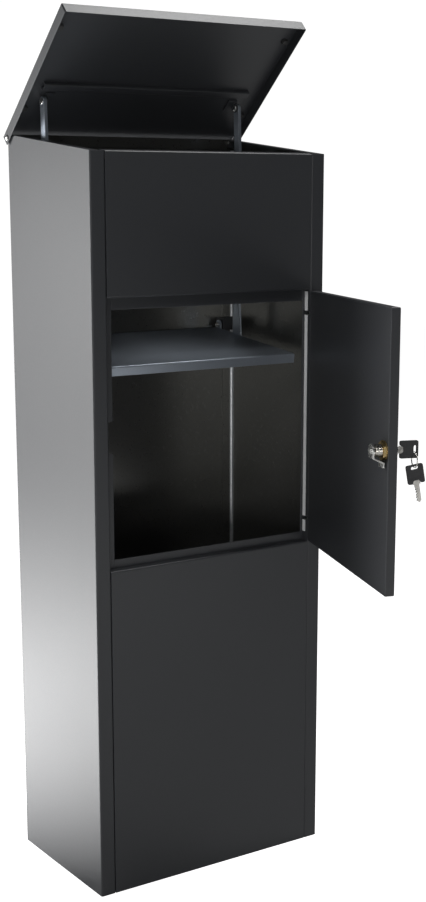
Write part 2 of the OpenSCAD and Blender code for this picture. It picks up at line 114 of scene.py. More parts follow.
# ---- Camera, floor and lights ----
CAMERA_AT = Vector((-1.1151, -1.7758, 0.9448))
CAMERA_AZIMUTH, CAMERA_ELEVATION, CAMERA_ROLL = -33.82, 11.51, -0.06
CAMERA_NEAR, CAMERA_FAR = 0.05, 50
IMAGE_H = 902               # pixels; so are the next two
FOCAL_PX = 1492
PRINCIPAL_Y = 499
SENSOR = 36.0               # mm, for the image's longer side
WHITE = (1, 1, 1, 1)
BACKDROP, ROOM = 1.05, 0.02     # the world's strength for the camera and for the object
FLOOR_R, FLOOR_DROP = 9, 0.2 * MM
FLOOR_WHITE, FLOOR_ROUGH = 0.86, 0.7
FLOOR_BASE, FLOOR_SEEN = 0.02, 0.985    # the floor's least glow, for the object and the camera
# x, y, inner and outer radius, strength
FLOOR_GLOW = [
    (-0.58, 0.58, 0.25, 0.75, 6.2),
    (-1.05, 1.30, 0.3, 1.0, 5.0),
    (0.6, -2.3, 0.3, 1.2, 1.5),
]
LIGHT_AIM = (0, 0, 0.55)
# name, place, size, power
LIGHTS = [
    ("back_left", (-2.2, 2.0, 0.7), (1.6, 1.0), 50),
    ("left_steep", (-1.53, -1.31, 2.2), (0.35, 0.35), 10),
    ("camera_mid", (-1.65, -2.47, 0.6), (1.2, 0.5), 11),
    ("top_right", (1.1, -0.1, 3.0), (0.9, 0.9), 35),
    ("top_front", (-0.3, -1.8, 2.8), (1.2, 1.2), 4),
]


def add_object(name, data):
    obj = bpy.data.objects.new(name, data)
    bpy.context.scene.collection.objects.link(obj)
    return obj


def make_camera():
    data = bpy.data.cameras.new("camera")
    camera = add_object("camera", data)
    data.sensor_width = SENSOR
    data.lens = FOCAL_PX * SENSOR / IMAGE_H
    data.shift_y = (PRINCIPAL_Y - IMAGE_H / 2) / IMAGE_H
    data.clip_start, data.clip_end = CAMERA_NEAR, CAMERA_FAR
    camera.location = CAMERA_AT
    turn = Matrix.Rotation(math.radians(CAMERA_AZIMUTH), 4, "Z")
    tilt = Matrix.Rotation(math.radians(90 - CAMERA_ELEVATION), 4, "X")
    roll = Matrix.Rotation(math.radians(CAMERA_ROLL), 4, "Z")
    camera.rotation_euler = (turn @ tilt @ roll).to_euler()
    bpy.context.scene.camera = camera


def make_world():
    """A world that the camera sees as white and the object sees as a dim studio."""
    world = bpy.data.worlds.new("studio")
    bpy.context.scene.world = world
    world.use_nodes = True
    nodes, links = world.node_tree.nodes, world.node_tree.links
    nodes.clear()
    out = nodes.new("ShaderNodeOutputWorld")
    mix = nodes.new("ShaderNodeMixShader")
    path = nodes.new("ShaderNodeLightPath")
    for socket, strength in ((1, ROOM), (2, BACKDROP)):
        light = nodes.new("ShaderNodeBackground")
        light.inputs["Strength"].default_value = strength
        light.inputs["Color"].default_value = WHITE
        links.new(light.outputs[0], mix.inputs[socket])
    links.new(path.outputs["Is Camera Ray"], mix.inputs[0])
    links.new(mix.outputs[0], out.inputs["Surface"])


def make_floor():
    """A white floor, brighter in the patches named in FLOOR_GLOW."""
    mesh = bpy.data.meshes.new("floor")
    bm = bmesh.new()
    bmesh.ops.create_circle(bm, cap_ends=True, segments=96, radius=FLOOR_R)
    bm.to_mesh(mesh)
    bm.free()
    floor = add_object("floor", mesh)
    floor.location.z = -FLOOR_DROP
    m = Shader("studio_floor", (FLOOR_WHITE,) * 3, FLOOR_ROUGH)
    glow = FLOOR_BASE
    for x, y, near, far, strength in FLOOR_GLOW:
        spot = m.add("ShaderNodeVectorMath", operation="DISTANCE")
        m.link(m.place.outputs["Object"], spot.inputs[0])
        spot.inputs[1].default_value = (x, y, 0)
        glow = m.math("ADD", m.map_range(spot.outputs["Value"], near, far, strength, 0), glow)
    seen = m.add("ShaderNodeLightPath").outputs["Is Camera Ray"]
    m.set("Emission Strength", m.math("MAXIMUM", glow, m.math("MULTIPLY", seen, FLOOR_SEEN)))
    m.bsdf.inputs["Emission Color"].default_value = WHITE
    mesh.materials.append(m.material)


def make_lights():
    for name, at, size, power in LIGHTS:
        data = bpy.data.lights.new(name, "AREA")
        data.shape = "RECTANGLE"
        data.size, data.size_y = size
        data.energy = power
        light = add_object(name, data)
        light.location = at
        aim = Vector(LIGHT_AIM) - Vector(at)
        light.rotation_euler = aim.to_track_quat("-Z", "Y").to_euler()
        light.visible_camera = False


# ---- Materials ----
class Shader:
    """A principled material with short calls for its procedural detail."""

    def __init__(self, name, colour, rough, metallic=0.0):
        self.material = bpy.data.materials.new(name)
        self.material.use_nodes = True
        self.tree = self.material.node_tree
        self.bsdf = self.tree.nodes["Principled BSDF"]
        self.bsdf.inputs["Base Color"].default_value = (*colour, 1)
        self.bsdf.inputs["Roughness"].default_value = rough
        self.bsdf.inputs["Metallic"].default_value = metallic
        self.place = self.add("ShaderNodeTexCoord")

    def add(self, kind, **settings):
        node = self.tree.nodes.new(kind)
        for key, value in settings.items():
            setattr(node, key, value)
        return node

    def link(self, a, b):
        self.tree.links.new(a, b)

    def set(self, socket, output):
        self.link(output, self.bsdf.inputs[socket])

    def map_range(self, value, from_min, from_max, to_min, to_max):
        node = self.add("ShaderNodeMapRange")
        self.link(value, node.inputs["Value"])
        for key, number in (("From Min", from_min), ("From Max", from_max),
                            ("To Min", to_min), ("To Max", to_max)):
            node.inputs[key].default_value = number
        return node.outputs["Result"]

    def noise(self, scale, detail, stretch=(1, 1, 1)):
        mapping = self.add("ShaderNodeMapping")
        mapping.inputs["Scale"].default_value = stretch
        self.link(self.place.outputs["Object"], mapping.inputs["Vector"])
        node = self.add("ShaderNodeTexNoise")
        node.inputs["Scale"].default_value = scale
        node.inputs["Detail"].default_value = detail
        self.link(mapping.outputs[0], node.inputs["Vector"])
        return node.outputs["Fac"]

    def spread(self, value, middle, half):
        """The usual span of a noise carried to middle - half and middle + half."""
        return self.map_range(value, 0.3, 0.7, middle - half, middle + half)

    def mix(self, factor, a, b):
        """A colour between two; each is a tuple or an output."""
        node = self.add("ShaderNodeMix", data_type="RGBA")
        self.link(factor, node.inputs["Factor"])
        for key, value in (("A", a), ("B", b)):
            if isinstance(value, tuple):
                node.inputs[key].default_value = (*value, 1)
            else:
                self.link(value, node.inputs[key])
        return node.outputs["Result"]

    def math(self, operation, a, b):
        node = self.add("ShaderNodeMath", operation=operation)
        for slot, value in enumerate((a, b)):
            if isinstance(value, (int, float)):
                node.inputs[slot].default_value = value
            else:
                self.link(value, node.inputs[slot])
        return node.outputs[0]

    def edge(self, radius):
        """1 on rounded edges and 0 on flat faces."""
        bevel = self.add("ShaderNodeBevel", samples=4)
        bevel.inputs["Radius"].default_value = radius
        flat = self.add("ShaderNodeNewGeometry")
        dot = self.add("ShaderNodeVectorMath", operation="DOT_PRODUCT")
        self.link(bevel.outputs[0], dot.inputs[0])
        self.link(flat.outputs["Normal"], dot.inputs[1])
        return self.map_range(dot.outputs["Value"], 0.99, 0.80, 0, 1)

    def bump(self, height, strength, distance, below=None):
        node = self.add("ShaderNodeBump")
        node.inputs["Strength"].default_value = strength
        node.inputs["Distance"].default_value = distance
        self.link(height, node.inputs["Height"])
        if below is not None:
            self.link(below, node.inputs["Normal"])
        self.set("Normal", node.outputs[0])
        return node.outputs[0]


def shade(colour, k):
    return tuple(min(1.0, c * k) for c in colour)


def powder_coat(name, colour, rough, edge_wear_and_highlight=0.8, metallic=0.0):
    """Powder coat: orange peel, clouded gloss, pale flecks, and lighter edges, partly rubbed wear and partly a
    painted highlight along the bends.
    """
    m = Shader(name, colour, rough, metallic)
    tone = m.mix(m.noise(5, 3), shade(colour, 0.95), shade(colour, 1.05))
    fleck = m.map_range(m.noise(2600, 1), 0.62, 0.74, 0, 0.35)
    tone = m.mix(fleck, tone, shade(colour, 2.0))
    # lighter edges in patches: part rubbed wear, part a painted highlight on the bends
    patches = m.map_range(m.noise(60, 4), 0.35, 0.7, 0.15, edge_wear_and_highlight)
    lighter_edge = m.math("MULTIPLY", m.edge(0.9 * MM), patches)
    m.set("Base Color", m.mix(lighter_edge, tone, shade(colour, 4.5)))
    clouds, grain = m.spread(m.noise(3, 2), rough, 0.008), m.spread(m.noise(900, 2), 0, 0.03)
    m.set("Roughness", m.math("ADD", clouds, grain))
    peel = m.bump(m.noise(520, 2), 0.10, 0.10 * MM)
    m.bump(m.noise(1700, 1), 0.14, 0.05 * MM, peel)
    return m.material


def galvanised(name, colour, rough):
    """Bare zinc-coated sheet: small spangle and faint rolling lines up its height."""
    m = Shader(name, colour, rough, 0.8)
    spangle = m.add("ShaderNodeTexVoronoi")
    spangle.inputs["Scale"].default_value = 420
    m.link(m.place.outputs["Object"], spangle.inputs["Vector"])
    grey = m.add("ShaderNodeRGBToBW")
    m.link(spangle.outputs["Color"], grey.inputs[0])
    tone = m.mix(grey.outputs[0], shade(colour, 0.95), shade(colour, 1.05))
    stain = m.map_range(m.noise(9, 3), 0.35, 0.75, 0, 0.3)
    m.set("Base Color", m.mix(stain, tone, shade(colour, 0.88)))
    rolled = m.noise(1500, 2, (1, 1, 0.15))
    facets = m.map_range(grey.outputs[0], 0, 1, rough - 0.02, rough + 0.02)
    m.set("Roughness", m.math("ADD", facets, m.spread(rolled, 0, 0.02)))
    m.bump(rolled, 0.05, 0.02 * MM)
    return m.material


def plated(name, colour, rough):
    """Plated or turned metal with cloudy gloss, a patchy tone and a fine grain."""
    m = Shader(name, colour, rough, 1.0)
    m.set("Base Color", m.mix(m.noise(160, 4), shade(colour, 0.82), shade(colour, 1.10)))
    m.set("Roughness", m.map_range(m.noise(420, 4), 0.3, 0.7, rough - 0.08, rough + 0.10))
    m.bump(m.noise(1200, 3), 0.12, 0.04 * MM)
    return m.material


def moulded(name, colour, rough):
    """Moulded plastic or rubber with a fine grain and rubbed edges."""
    m = Shader(name, colour, rough)
    lighter_edge = m.math("MULTIPLY", m.edge(0.6 * MM), 0.4)
    tone = m.mix(m.noise(90, 3), shade(colour, 0.85), shade(colour, 1.2))
    m.set("Base Color", m.mix(lighter_edge, tone, shade(colour, 2.6)))
    m.set("Roughness", m.spread(m.noise(300, 3), rough, 0.07))
    m.bump(m.noise(2200, 2), 0.25, 0.05 * MM)
    return m.material


# ---- Mesh building ----
def plan(a, b, c):
    """Places an outline drawn in (x, y)."""
    return (a, b, c)


def profile(a, b, c):
    """Places an outline drawn in (y, z)."""
    return (c, a, b)


def elevation(a, b, c):
    """Places an outline drawn in (x, z)."""
    return (a, c, b)


def sheet_outline(line, thick, side, bend=BEND):
    """Closed outline of a folded sheet, which lies to the left (1) or right (-1) of a line."""
    line = [Vector(p) for p in line]
    near, far = [], []
    for i, p in enumerate(line):
        before = (p - line[i - 1]).normalized() if i else None
        after = (line[i + 1] - p).normalized() if i < len(line) - 1 else None
        if before is None or after is None:
            d = after if before is None else before
            near.append(p)
            far.append(p + Vector((-d.y, d.x)) * side * thick)
            continue
        turn = before.x * after.y - before.y * after.x
        angle = math.atan2(turn, before.dot(after))
        radius = bend + (thick if turn * side > 0 else 0)
        signed = math.copysign(radius, turn)
        left = Vector((-before.y, before.x))
        centre = p - before * radius * abs(math.tan(angle / 2)) + left * signed
        for k in range(BEND_STEPS + 1):
            n = Matrix.Rotation(angle * k / BEND_STEPS, 2) @ left
            near.append(centre - n * signed)
            far.append(near[-1] + n * side * thick)
    return near + far[::-1]


def rounded_points(points, radius, steps=3):
    """Lathe or outline points with their inner corners rounded."""
    points = [Vector(p) for p in points]
    made = [points[0]]
    for a, b, c in zip(points, points[1:], points[2:]):
        one, two = (a - b), (c - b)
        r = min(radius, one.length * 0.45, two.length * 0.45)
        p, q = b + one.normalized() * r, b + two.normalized() * r
        for k in range(steps + 1):
            t = k / steps
            made.append(p * (1 - t) ** 2 + b * 2 * t * (1 - t) + q * t ** 2)
    return made + [points[-1]]


def prism(bm, outline, low, high, place):
    """An outline in (a, b) carried along c from low to high, which may depend on (a, b)."""
    def at(limit, p):
        return limit(p[0], p[1]) if callable(limit) else limit
    first = [bm.verts.new(place(p[0], p[1], at(low, p))) for p in outline]
    last = [bm.verts.new(place(p[0], p[1], at(high, p))) for p in outline]
    bm.faces.new(first[::-1])
    bm.faces.new(last)
    for i in range(len(outline)):
        j = (i + 1) % len(outline)
        bm.faces.new((first[i], first[j], last[j], last[i]))


def rectangle(x0, y0, x1, y1):
    return [(x0, y0), (x1, y0), (x1, y1), (x0, y1)]


def block(bm, low, high):
    """A box between two corners, as part of a larger mesh."""
    prism(bm, rectangle(low[0], low[1], high[0], high[1]), low[2], high[2], plan)


def skin(bm, rings):
    """Faces from each ring of vertices to the next; a ring of one vertex is a tip."""
    for one, two in zip(rings, rings[1:]):
        count = max(len(one), len(two))
        for k in range(count):
            j = (k + 1) % count
            face = [one[k % len(one)], one[j % len(one)], two[j % len(two)], two[k % len(two)]]
            face = list(dict.fromkeys(face))
            if len(face) > 2:
                bm.faces.new(face)


def lathe(bm, points, axis="Y", at=(0, 0, 0), steps=STEPS_ROUND, closed=False):
    """A turned solid from (distance along the axis, radius) points, or a ring if closed."""
    rings = []
    for along, radius in points:
        ring = []
        for k in range(steps if radius > NO_RADIUS else 1):
            a = 2 * math.pi * k / steps
            u, v = radius * math.cos(a), radius * math.sin(a)
            p = {"X": (along, u, v), "Y": (v, along, u), "Z": (u, v, along)}[axis]
            ring.append(bm.verts.new(Vector(p) + Vector(at)))
        rings.append(ring)
    if closed:
        skin(bm, rings + rings[:1])
        return
    skin(bm, rings)
    for ring in (rings[0], rings[-1]):
        if len(ring) > 1:
            bm.faces.new(ring)


def bore(start, end, radius, axis="Y", at=(0, 0, 0)):
    """A cutter for a round hole along an axis."""
    return lambda tool: lathe(tool, [(start, radius), (end, radius)], axis, at)


def pocket(low, high):
    """A cutter for a box between two corners."""
    return lambda tool: block(tool, low, high)


def bevel_where(bm, test, width, steps):
    edges = [e for e in bm.edges if test(e)]
    if edges:
        bmesh.ops.bevel(bm, geom=edges, offset=width, segments=steps, profile=0.5,
                        affect="EDGES", clamp_overlap=True)


def is_sharp(edge):
    return len(edge.link_faces) == 2 and edge.calc_face_angle(0) > SHARP


def facing(axis, sign):
    """A test for faces that look along an axis."""
    return lambda centre, normal: normal[axis] * sign > FACING


def cut_mesh(bm, cutters):
    """Takes the cutters, which are functions that draw into a bmesh, out of bm."""
    drawn = bmesh.new()
    for draw in cutters:
        draw(drawn)
    bmesh.ops.recalc_face_normals(drawn, faces=drawn.faces)
    made = []
    for source in (bm, drawn):
        mesh = bpy.data.meshes.new("cutting")
        source.to_mesh(mesh)
        made.append(add_object("cutting", mesh))
    drawn.free()
    body, tool = made
    modifier = body.modifiers.new("cut", "BOOLEAN")
    modifier.object, modifier.operation, modifier.solver = tool, "DIFFERENCE", "EXACT"
    modifier.use_self = True    # the sheets are drawn as prisms that run into each other
    evaluated = body.evaluated_get(bpy.context.evaluated_depsgraph_get())
    result = bpy.data.meshes.new_from_object(evaluated)
    bm.clear()
    bm.from_mesh(result)
    for obj in made:
        bpy.data.objects.remove(obj)
    bmesh.ops.dissolve_limit(bm, angle_limit=0.001, verts=bm.verts, edges=bm.edges)


def finish_piece(name, bm, body, materials, nodes=(), matrix=None,
                 edge=EDGE, steps=2, inside=None, cuts=()):
    """Cuts, rounds and shades a mesh, and makes it a piece that rides on a body.

    inside takes a face's centre and normal and gives the number of its material.
    """
    bmesh.ops.recalc_face_normals(bm, faces=bm.faces)
    if cuts:
        cut_mesh(bm, cuts)
    if edge:
        bevel_where(bm, is_sharp, edge, steps)
    for f in bm.faces:
        f.smooth = True
        if inside is not None:
            f.material_index = int(inside(f.calc_center_median(), f.normal))
    if matrix is not None:
        bm.transform(matrix)
    mesh = bpy.data.meshes.new(name)
    bm.to_mesh(mesh)
    bm.free()
    mesh.set_sharp_from_angle(angle=CREASE)
    for m in materials:
        mesh.materials.append(m)
    piece = add_object(name, mesh)
    piece.modifiers.new("even", "WEIGHTED_NORMAL").keep_sharp = True
    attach(piece, body)
    if nodes:
        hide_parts(*nodes)
    return piece


def dress(node, material, edge=EDGE, steps=2):
    """A CAD node whose shape is right: its own material, with edges rounded by modifiers."""
    obj = frame["nodes"][node]
    obj.data.materials.clear()
    obj.data.materials.append(material)
    weld = obj.modifiers.new("weld", "WELD")
    weld.merge_threshold = 0.003 * MM
    bevel = obj.modifiers.new("round", "BEVEL")
    bevel.width, bevel.segments, bevel.limit_method = edge, steps, "ANGLE"
    bevel.angle_limit = SHARP
    bevel.use_clamp_overlap = True
    obj.modifiers.new("even", "WEIGHTED_NORMAL").keep_sharp = True


def node_groups(node, matrix=None):
    """The boxes of a CAD node's separate solids, as pairs of corners in a fixed order."""
    inverse = (matrix or Matrix.Identity(4)).inverted()
    bm = bmesh.new()
    bm.from_mesh(frame["nodes"][node].data)
    bmesh.ops.remove_doubles(bm, verts=bm.verts, dist=0.002 * MM)
    left, boxes = set(bm.verts), []
    while left:
        stack, found = [left.pop()], []
        while stack:
            v = stack.pop()
            found.append(inverse @ v.co)
            for e in v.link_edges:
                other = e.other_vert(v)
                if other in left:
                    left.remove(other)
                    stack.append(other)
        boxes.append(box_of(found))
    bm.free()
    return sorted(boxes, key=lambda b: [round(c, 4) for c in b[0]])


# ---- Cabinet ----
RETURN_W = 18 * MM          # the side sheets' rear flanges
FLANGE_FOOT = 2 * MM
FLANGE_DROP = 11 * MM       # from the lid's axis to the flanges' upper ends
ROOF_FOLD_STOP = 10 * MM    # from the lid's axis to the roof folds' rear ends
PANEL_BEND = 1.2 * MM       # the rounding along a side sheet's roof line
FOLD_R, FOLD_STEPS = 4 * MM, 8      # the rounded fold inside each rear corner
ROOF_FOLD_W = 12 * MM
LID_PIN_R = 2 * MM          # the lid pins and their holes
ARM_SLOT_H, ARM_SLOT_PAST = 5.5 * MM, 5.5 * MM  # the hinge slots' height and reach past the axis
FRONT_BEND = 1.1 * MM       # the rounding of a front panel's upright edges
FRONT_RETURN_W, FRONT_RETURN_FOOT, FRONT_RETURN_TOP = 9 * MM, 3 * MM, 12 * MM
HEM_H = 15 * MM             # the fold at the top of the rear sheet, and of the front one
LOCK_HOLE_R = 8 * MM
BARE_BELOW = 0.45           # the front panels' backs are bare under this height
NOTCH_BELOW, NOTCH_ABOVE = 27 * MM, 15 * MM     # lock notch, from the lock's axis
HEAD_H = 2 * MM             # a rivet's head
RIVET_R = 2.5 * MM
STRIP_DEEP, STRIP_PROUD = 0.25 * MM, 0.05 * MM  # the painted highlight strip, into the return and out of it
STRIP_FROM, STRIP_TO = 6.5 * MM, 0.1 * MM       # its span in front of the lips


def rear_fold(fold_y):
    """Outline of the rounded fold in a side sheet's rear corner."""
    outline = [(INNER_X + EDGE, fold_y + EDGE), (INNER_X - FOLD_R, fold_y + EDGE)]
    for k in range(FOLD_STEPS + 1):
        a = math.pi / 2 * k / FOLD_STEPS
        outline.append((INNER_X - FOLD_R + FOLD_R * math.sin(a),
                        fold_y - FOLD_R + FOLD_R * math.cos(a)))
    return outline + [(INNER_X + EDGE, fold_y - FOLD_R)]


def side_panel(name, node, s, m):
    """Front stile, wall and flanges of one side (1 right, -1 left), folded from one sheet."""
    hinge_y, hinge_z = PIN["lid_hinge"][1:]
    bm = bmesh.new()
    line = [(STILE_X, LIP_Y), (STILE_X, FRONT), (HALF_W, FRONT), (HALF_W, REAR)]
    prism(bm, sheet_outline(line, SHEET, 1), 0, lambda x, y: roof(y), plan)
    flange_top = hinge_z - FLANGE_DROP
    line = [(INNER_X + EDGE, INNER_REAR), (INNER_X - RETURN_W, INNER_REAR)]
    prism(bm, sheet_outline(line, SHEET, 1), FLANGE_FOOT, flange_top, plan)
    fold_y = INNER_REAR - SHEET
    prism(bm, rear_fold(fold_y), FLANGE_FOOT, flange_top, plan)
    y0, y1 = INNER_FRONT, hinge_y - ROOF_FOLD_STOP
    strip = [(y0, roof(y0) - SHEET), (y1, roof(y1) - SHEET), (y1, roof(y1)), (y0, roof(y0))]
    prism(bm, strip, INNER_X - ROOF_FOLD_W, INNER_X + EDGE, profile)

    def top_fold(e):
        return all(abs(v.co.x - HALF_W) < SAME and v.co.z > BODY_H - MM for v in e.verts)
    bmesh.ops.recalc_face_normals(bm, faces=bm.faces)
    bevel_where(bm, top_fold, PANEL_BEND, BEND_STEPS)
    at = (0, hinge_y, hinge_z)
    cuts = [bore(INNER_X - 2 * MM, HALF_W + 2 * MM, LID_PIN_R, "X", at)]
    if s > 0:
        right = PIN["door_hinge"][0] + ARM_SLOT_PAST
        for lo, hi in node_groups("door_hinge_pins"):
            z = (lo.z + hi.z) / 2
            cuts.append(pocket((STILE_X - MM, FRONT - MM, z - ARM_SLOT_H / 2),
                               (right, LIP_Y + MM, z + ARM_SLOT_H / 2)))

    def inner(centre, normal):
        """0 for coat, 1 for bare sheet and 2 for the fold, which carries a painted highlight."""
        # the fold's faces take a bright copy of the sheet, a painted highlight for the glow in the corner
        in_fold = centre.y > fold_y - FOLD_R - EDGE and centre.x < INNER_X
        if in_fold and min(-normal.x, -normal.y) > 0.05:
            return 2
        wall = normal.x < -FACING and centre.x > INNER_X - 2 * EDGE
        corner = centre.y > 0 and normal.x + normal.y < -FACING
        return centre.y > LIP_Y and (wall or corner)
    piece = finish_piece(name, bm, "cabinet", m, [node], inside=inner, cuts=cuts)
    if s < 0:
        piece.data.transform(Matrix.Scale(-1, 4, (1, 0, 0)))
        piece.data.flip_normals()


def front_panel(name, node, line, m):
    """A front panel: a folded profile whose upright edges are rounded like a bend."""
    lo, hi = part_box(node)
    bm = bmesh.new()
    prism(bm, sheet_outline(line, SHEET, -1), lo.x, hi.x, profile)
    bmesh.ops.recalc_face_normals(bm, faces=bm.faces)

    def upright(e):
        a, b = e.verts
        on_front = all(abs(v.co.y - FRONT) < SAME for v in e.verts)
        return on_front and abs(a.co.x - b.co.x) < SAME and abs(abs(a.co.x) - hi.x) < SAME
    bevel_where(bm, upright, FRONT_BEND, BEND_STEPS)
    for x in (lo.x, hi.x - SHEET):
        block(bm, (x, INNER_FRONT - EDGE, lo.z + FRONT_RETURN_FOOT),
              (x + SHEET, INNER_FRONT + FRONT_RETURN_W, hi.z - FRONT_RETURN_TOP))
    finish_piece(name, bm, "cabinet", m, [node],
                 inside=lambda c, n: n.y > FACING and c.z < BARE_BELOW)


def hole_cuts(mount, spacing, start, end, axis, place):
    """Cutters for the four holes of a mount, whose centres place(u, v) gives."""
    row = next(x for x in frame["record"]["mounts"] if x["name"] == mount)
    du, dv = (row["dims"][key] * MM / 2 for key in spacing)
    r = row["dims"]["hole_r_mm"] * MM
    return [bore(start, end, r, axis, place(row["pos_m"], u, v))
            for u in (-du, du) for v in (-dv, dv)]


def rear_sheet(m):
    lo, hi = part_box("rear_panel")
    bm = bmesh.new()
    wall = [(INNER_REAR, 0), (REAR, 0), (REAR, roof(REAR)), (INNER_REAR, roof(INNER_REAR))]
    prism(bm, wall, lo.x, hi.x, profile)
    near, far, hem_z = INNER_REAR - SHEET, INNER_REAR + EDGE, roof(REAR) - HEM_H
    hem = [(near, hem_z), (far, hem_z), (far, roof(INNER_REAR)), (near, roof(near))]
    prism(bm, hem, lo.x + RETURN_W, hi.x - RETURN_W, profile)
    cuts = hole_cuts("wall_holes", ("spacing_x_mm", "spacing_y_mm"), INNER_REAR - 3 * MM,
                     REAR + 3 * MM, "Y", lambda pos, u, v: (u, 0, pos[2] + v))
    finish_piece("rear_sheet", bm, "cabinet", m, ["rear_panel"],
                 cuts=cuts, inside=facing(1, -1))


def floor_sheet(m):
    lo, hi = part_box("floor_plate")
    bm = bmesh.new()
    block(bm, lo, hi)
    cuts = hole_cuts("floor_anchors", ("spacing_x_mm", "spacing_y_mm"), -2 * MM, 5 * MM,
                     "Z", lambda pos, u, v: (u, v, 0))
    finish_piece("floor_sheet", bm, "cabinet", m, ["floor_plate"],
                 cuts=cuts, inside=facing(2, 1))


def frame_strips(coat):
    """The lips round the door opening, with softened edges; the lock's side has its notch."""
    for node in ("door_frame_head", "door_frame_sill", "hinge_side_jamb", "lock_side_jamb"):
        lo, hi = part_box(node)
        bm = bmesh.new()
        block(bm, lo, hi)
        cuts = []
        if node == "lock_side_jamb":
            cuts = [pocket((-STILE_X + 2 * MM, lo.y - MM, LOCK_AT.z - NOTCH_BELOW),
                           (hi.x + MM, hi.y + MM, LOCK_AT.z + NOTCH_ABOVE))]
        finish_piece(node + "_lip", bm, "cabinet", [coat], [node],
                     edge=0.5 * MM, steps=3, cuts=cuts)


def hinge_highlight_strip(pale):
    """A painted highlight: a near-white strip on the right stile's return, standing in for the bright line of
    light beside the open door, parted where the hinge arms pass.
    """
    gaps = sorted({(round(lo.z - MM, 4), round(hi.z + MM, 4))
                   for lo, hi in node_groups("door_hinge_arms")})
    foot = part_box("door_frame_sill")[1].z + MM
    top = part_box("front_top_panel")[0].z - 3 * MM
    heights = [foot, *(z for gap in gaps for z in gap), top]
    bm = bmesh.new()
    for low, high in zip(heights[::2], heights[1::2]):
        block(bm, (STILE_X - STRIP_DEEP, LIP_Y - STRIP_FROM, low),
              (STILE_X + STRIP_PROUD, LIP_Y - STRIP_TO, high))
    finish_piece("hinge_side_highlight_strip", bm, "cabinet", [pale], edge=0.05 * MM, steps=1)


def domed_pin(bm, x0, x1, r, heads, at):
    """A pin along X with domed heads: heads is a list of (inner x, outer x, radius)."""
    lathe(bm, [(x0, 0), (x0, r), (x1, r), (x1, 0)], "X", at, STEPS_PIN)
    for a, b, big in heads:
        d = b - a
        dome = [(a, 0), (a, big), (a + d * 0.35, big), (a + d * 0.75, big * 0.8),
                (b, big * 0.45), (b, 0)]
        lathe(bm, rounded_points(dome, abs(d) * 0.3), "X", at, STEPS_PIN)


def reach(lo, hi):
    """Which side of the middle a box is on, and how far its near and far ends are from it."""
    return 1 if hi.x > 0 else -1, min(abs(lo.x), abs(hi.x)), max(abs(lo.x), abs(hi.x))


def rivet(bm, lo, hi, head_r, at):
    """A rivet as long as a box, with a domed head at both ends."""
    s, inner, outer = reach(lo, hi)
    heads = [(s * (inner + HEAD_H), s * inner, head_r), (s * (outer - HEAD_H), s * outer, head_r)]
    domed_pin(bm, s * (inner + MM), s * (outer - MM), RIVET_R, heads, at)


def hinge_pins(zinc):
    bm = bmesh.new()
    for lo, hi in node_groups("lid_hinge_pins"):
        s, inner, outer = reach(lo, hi)
        under_head = s * (outer - HEAD_H)
        domed_pin(bm, s * inner, under_head, LID_PIN_R, [(under_head, s * outer, 3.6 * MM)],
                  (0, *PIN["lid_hinge"][1:]))
    finish_piece("lid_pivot_pins", bm, "cabinet", [zinc], ["lid_hinge_pins"], edge=0)
    bm = bmesh.new()
    for lo, hi in node_groups("tray_pivot_pins"):
        rivet(bm, lo, hi, 4 * MM, (0, *PIN["tray_tilt"][1:]))
    finish_piece("tray_rivets", bm, "cabinet", [zinc], ["tray_pivot_pins"], edge=0)


def make_cabinet(coat, zinc_sheet, painted_fold_highlight, painted_highlight_strip, zinc):
    both = [coat, zinc_sheet]
    side_panel("right_side_sheet", "right_side_panel", 1, both + [painted_fold_highlight])
    side_panel("left_side_sheet", "left_side_panel", -1, both + [painted_fold_highlight])
    head_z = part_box("front_top_panel")[0].z
    sill_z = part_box("front_lower_panel")[1].z
    back = FRONT + HEM_H
    line = [(LIP_Y, head_z), (FRONT, head_z), (FRONT, BODY_H), (back, roof(back))]
    front_panel("front_top_sheet", "front_top_panel", line, both)
    line = [(FRONT, 0), (FRONT, sill_z), (LIP_Y, sill_z)]
    front_panel("front_lower_sheet", "front_lower_panel", line, both)
    rear_sheet(both)
    floor_sheet(both)
    frame_strips(coat)
    hinge_highlight_strip(painted_highlight_strip)
    dress("door_hinge_brackets", zinc)
    dress("door_hinge_pins", zinc)
    dress("lid_hinge_blocks", coat, 0.6 * MM)
    dress("tray_pivot_brackets", coat)
    hinge_pins(zinc)


# ---- Lid, links and tray ----
PIVOT_ROOM = 2.06 * MM      # radius of the holes in the lid's skirts
SEAM_W, SEAM_REACH, SEAM_BELOW = 0.28 * MM, 5 * MM, 2.2 * MM    # the skirts' open corner joints
LID_BEND, CHANNEL_BEND = 1.9 * MM, 0.8 * MM
LINK_HEAD_R = 4.5 * MM
COLLAR_R, COLLAR_FROM, COLLAR_TO = 4 * MM, 4 * MM, 6.9 * MM
TRAY_REAR_LIP = 4 * MM
TRAY_STEP, TRAY_CUT_BACK = 9 * MM, 0.5 * MM     # where the side lips narrow, and their lift


def open_pan(bm, lo, hi, open_faces, radius, thick):
    """A box without some of its faces, with rounded folds, given a thickness inwards."""
    corners = [bm.verts.new((x, y, z))
               for z in (lo.z, hi.z) for y in (lo.y, hi.y) for x in (lo.x, hi.x)]
    faces = {"-z": (0, 2, 3, 1), "+z": (4, 5, 7, 6), "-y": (0, 1, 5, 4),
             "+y": (2, 6, 7, 3), "-x": (0, 4, 6, 2), "+x": (1, 3, 7, 5)}
    for key, order in faces.items():
        if key not in open_faces:
            bm.faces.new([corners[i] for i in order])
    bmesh.ops.recalc_face_normals(bm, faces=bm.faces)
    middle = (lo + hi) / 2
    largest = max(bm.faces, key=lambda f: f.calc_area())
    if (largest.calc_center_median() - middle).dot(largest.normal) < 0:
        bmesh.ops.reverse_faces(bm, faces=bm.faces)
    bevel_where(bm, lambda e: len(e.link_faces) == 2, radius, 4)
    bmesh.ops.solidify(bm, geom=bm.faces, thickness=thick)


